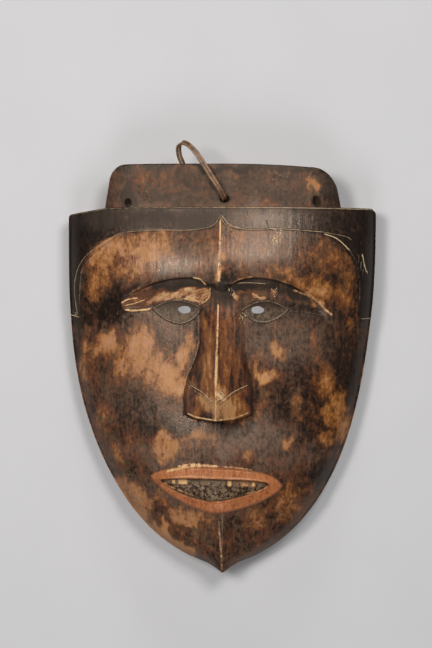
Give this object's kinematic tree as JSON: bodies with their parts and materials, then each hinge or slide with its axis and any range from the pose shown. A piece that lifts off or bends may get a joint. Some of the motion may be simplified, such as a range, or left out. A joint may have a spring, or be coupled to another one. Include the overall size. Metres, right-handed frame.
{
  "type": "carved wooden mask",
  "caption": "Shield-shaped face mask carved from wood, with a hollow back, a pierced top flange and a loop of hide thong.",
  "frame": {"origin": "below the middle of the carving, on the plane of its flat back rim", "axes": "+Z out of the face, +Y towards the crown, +X to the right of somebody looking at the face"},
  "size_m": [0.2392, 0.3332, 0.0888],
  "materials": {
    "carved_wood": "hand-carved hardwood, worn orange-brown under a dark, half-glossy patina",
    "hide_thong": "stiff golden-brown rawhide, two narrow strips side by side"
  },
  "bodies": {
    "root": {"mask": "carved_wood", "hanging_thong": "hide_thong"}
  },
  "joints": []
}
